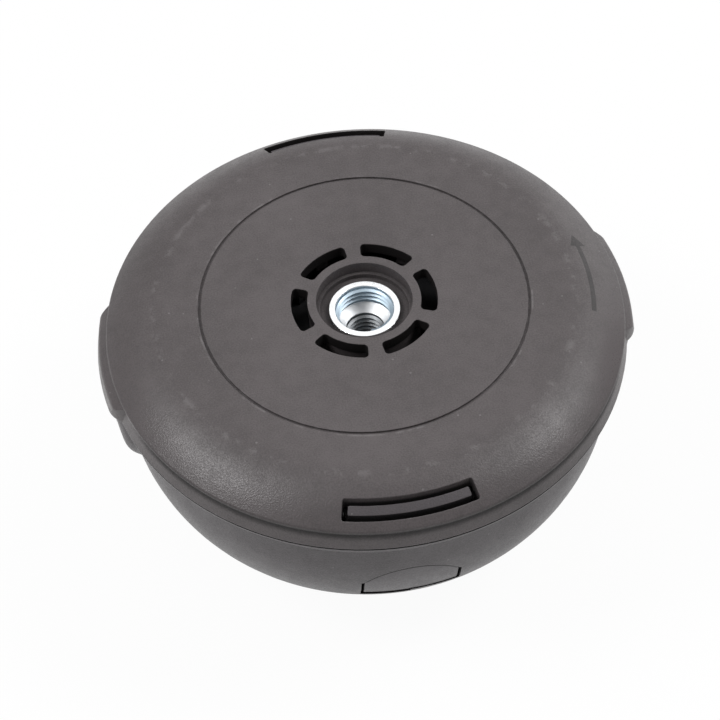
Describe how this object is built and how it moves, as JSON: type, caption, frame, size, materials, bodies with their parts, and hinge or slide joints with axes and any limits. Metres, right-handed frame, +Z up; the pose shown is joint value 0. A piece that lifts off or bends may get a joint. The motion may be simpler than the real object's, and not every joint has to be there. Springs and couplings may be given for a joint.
{
  "type": "trimmer head",
  "caption": "Round bump-feed trimmer head: a domed housing and deep bowl around a sprung, indexing line spool, with rocking release latches, line eyelets, a tap knob and a threaded drive hub.",
  "frame": {"origin": "on the floor under the middle of the tap knob, on the drive axis", "axes": "+Z up the drive axis towards the mounting side, +X through the right line eyelet, -Y through the front release latch"},
  "size_m": [0.1122, 0.109, 0.059],
  "materials": {
    "housing_plastic": "charcoal grey, fine spark-eroded satin grain",
    "latch_plastic": "charcoal grey, satin",
    "knob_plastic": "near black, tough nylon, satin",
    "spool_plastic": "black, smooth",
    "plated_steel": "bright zinc plating",
    "eyelet_alloy": "bright turned",
    "spring_steel": "drawn wire, lightly oiled"
  },
  "bodies": {
    "housing": {"upper_housing": "housing_plastic", "threaded_hub": "plated_steel", "lower_bowl": "housing_plastic", "left_eyelet": "eyelet_alloy", "right_eyelet": "eyelet_alloy", "front_latch_pin": "spring_steel", "rear_latch_pin": "spring_steel", "bump_spring": "spring_steel", "front_latch_spring": "spring_steel", "rear_latch_spring": "spring_steel"},
    "carriage": {"thrust_washer": "plated_steel"},
    "spool_set": {"spool": "spool_plastic", "tap_knob": "knob_plastic", "knob_screw": "plated_steel", "knob_washer": "plated_steel"},
    "front_release": {"front_latch": "latch_plastic"},
    "rear_release": {"rear_latch": "latch_plastic"}
  },
  "joints": [
    {"name": "bump_slide", "type": "slide", "parent": "housing", "child": "carriage", "axis": [0, 0, 1], "range_m": [0, 0.006], "stiffness_N_per_m": 2000, "springref_m": -0.01, "deforming": ["bump_spring"]},
    {"name": "feed_turn", "type": "hinge", "parent": "carriage", "child": "spool_set", "pos_m": [0, 0, 0.03], "axis": [0, 0, 1], "range_deg": [0, 30]},
    {"name": "front_latch_press", "type": "hinge", "parent": "housing", "child": "front_release", "pos_m": [0, -0.045, 0.0495], "axis": [1, 0, 0], "range_deg": [0, 9], "stiffness_Nm_per_rad": 0.15, "springref_deg": -28.65, "deforming": ["front_latch_spring"]},
    {"name": "rear_latch_press", "type": "hinge", "parent": "housing", "child": "rear_release", "pos_m": [0, 0.045, 0.0495], "axis": [-1, 0, 0], "range_deg": [0, 9], "stiffness_Nm_per_rad": 0.15, "springref_deg": -28.65, "deforming": ["rear_latch_spring"]}
  ]
}
